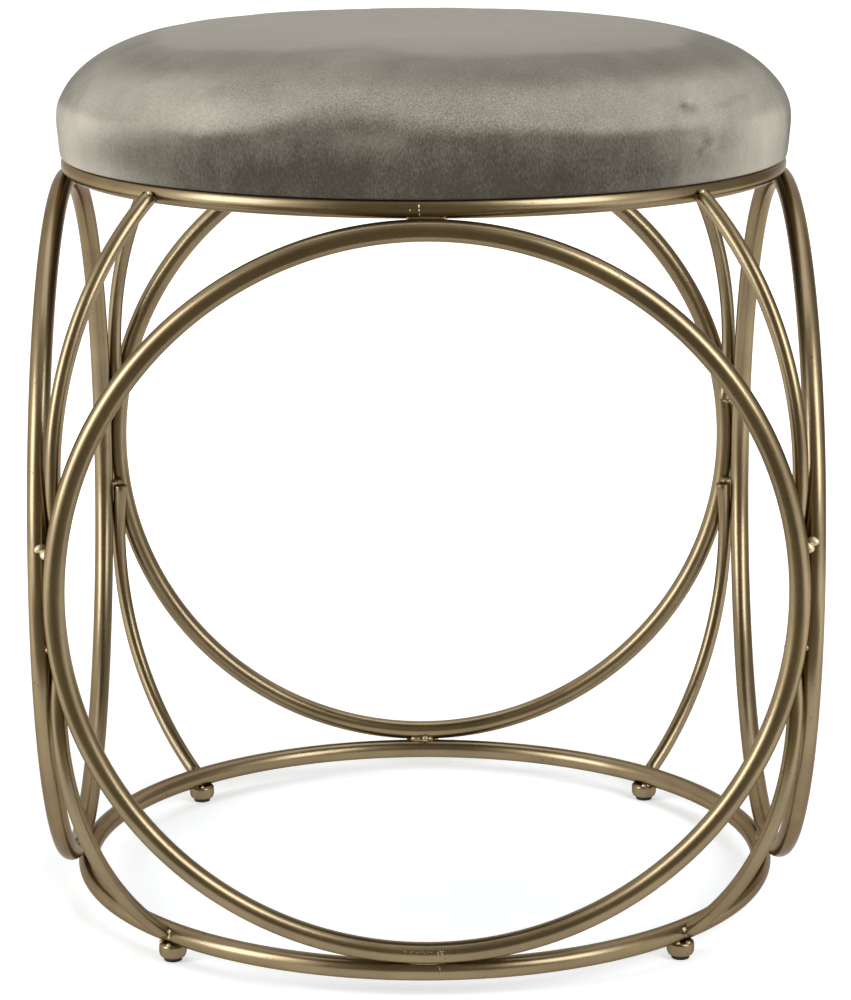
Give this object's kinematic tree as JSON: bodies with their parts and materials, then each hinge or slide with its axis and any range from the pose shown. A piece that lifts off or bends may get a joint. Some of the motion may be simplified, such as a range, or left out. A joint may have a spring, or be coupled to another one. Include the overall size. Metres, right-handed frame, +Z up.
{
  "type": "vanity stool",
  "caption": "Round vanity stool: a crowned velvet cushion on an open welded cage of upright tube circles, rings and bowed corner rods, standing on small bun feet.",
  "frame": {"origin": "on the floor, below the centre of the stool", "axes": "+Z up through the centre of the seat, -Y towards the front, +X to the right as seen from the front"},
  "size_m": [0.395, 0.395, 0.476],
  "materials": {
    "antique_brass": "satin antique brass plating over round steel tube",
    "weld_metal": "plated weld bead, a little brighter and smoother than the tube",
    "zinc": "zinc plated wood screw",
    "rubber": "matt black moulded pad",
    "velvet": "taupe grey short-pile velvet, cloudy where the nap is brushed",
    "foam": "open-cell upholstery foam",
    "plywood": "sanded plywood",
    "non_woven": "black non-woven dust cover cloth"
  },
  "bodies": {
    "root": {"top_ring": "antique_brass", "bottom_ring": "antique_brass", "front_circle": "antique_brass", "front_top_weld": "weld_metal", "front_bottom_weld": "weld_metal", "right_circle": "antique_brass", "right_top_weld": "weld_metal", "right_bottom_weld": "weld_metal", "back_circle": "antique_brass", "back_top_weld": "weld_metal", "back_bottom_weld": "weld_metal", "left_circle": "antique_brass", "left_top_weld": "weld_metal", "left_bottom_weld": "weld_metal", "front_right_upper_rod": "antique_brass", "front_right_upper_weld": "weld_metal", "front_right_lower_rod": "antique_brass", "front_right_lower_weld": "weld_metal", "front_right_foot": "antique_brass", "front_right_foot_pad": "rubber", "front_right_seat_tab": "antique_brass", "front_right_seat_screw": "zinc", "back_right_upper_rod": "antique_brass", "back_right_upper_weld": "weld_metal", "back_right_lower_rod": "antique_brass", "back_right_lower_weld": "weld_metal", "back_right_foot": "antique_brass", "back_right_foot_pad": "rubber", "back_right_seat_tab": "antique_brass", "back_right_seat_screw": "zinc", "back_left_upper_rod": "antique_brass", "back_left_upper_weld": "weld_metal", "back_left_lower_rod": "antique_brass", "back_left_lower_weld": "weld_metal", "back_left_foot": "antique_brass", "back_left_foot_pad": "rubber", "back_left_seat_tab": "antique_brass", "back_left_seat_screw": "zinc", "front_left_upper_rod": "antique_brass", "front_left_upper_weld": "weld_metal", "front_left_lower_rod": "antique_brass", "front_left_lower_weld": "weld_metal", "front_left_foot": "antique_brass", "front_left_foot_pad": "rubber", "front_left_seat_tab": "antique_brass", "front_left_seat_screw": "zinc", "seat_cover": "velvet", "seat_foam": "foam", "seat_board": "plywood", "dust_cover": "non_woven"}
  },
  "joints": []
}
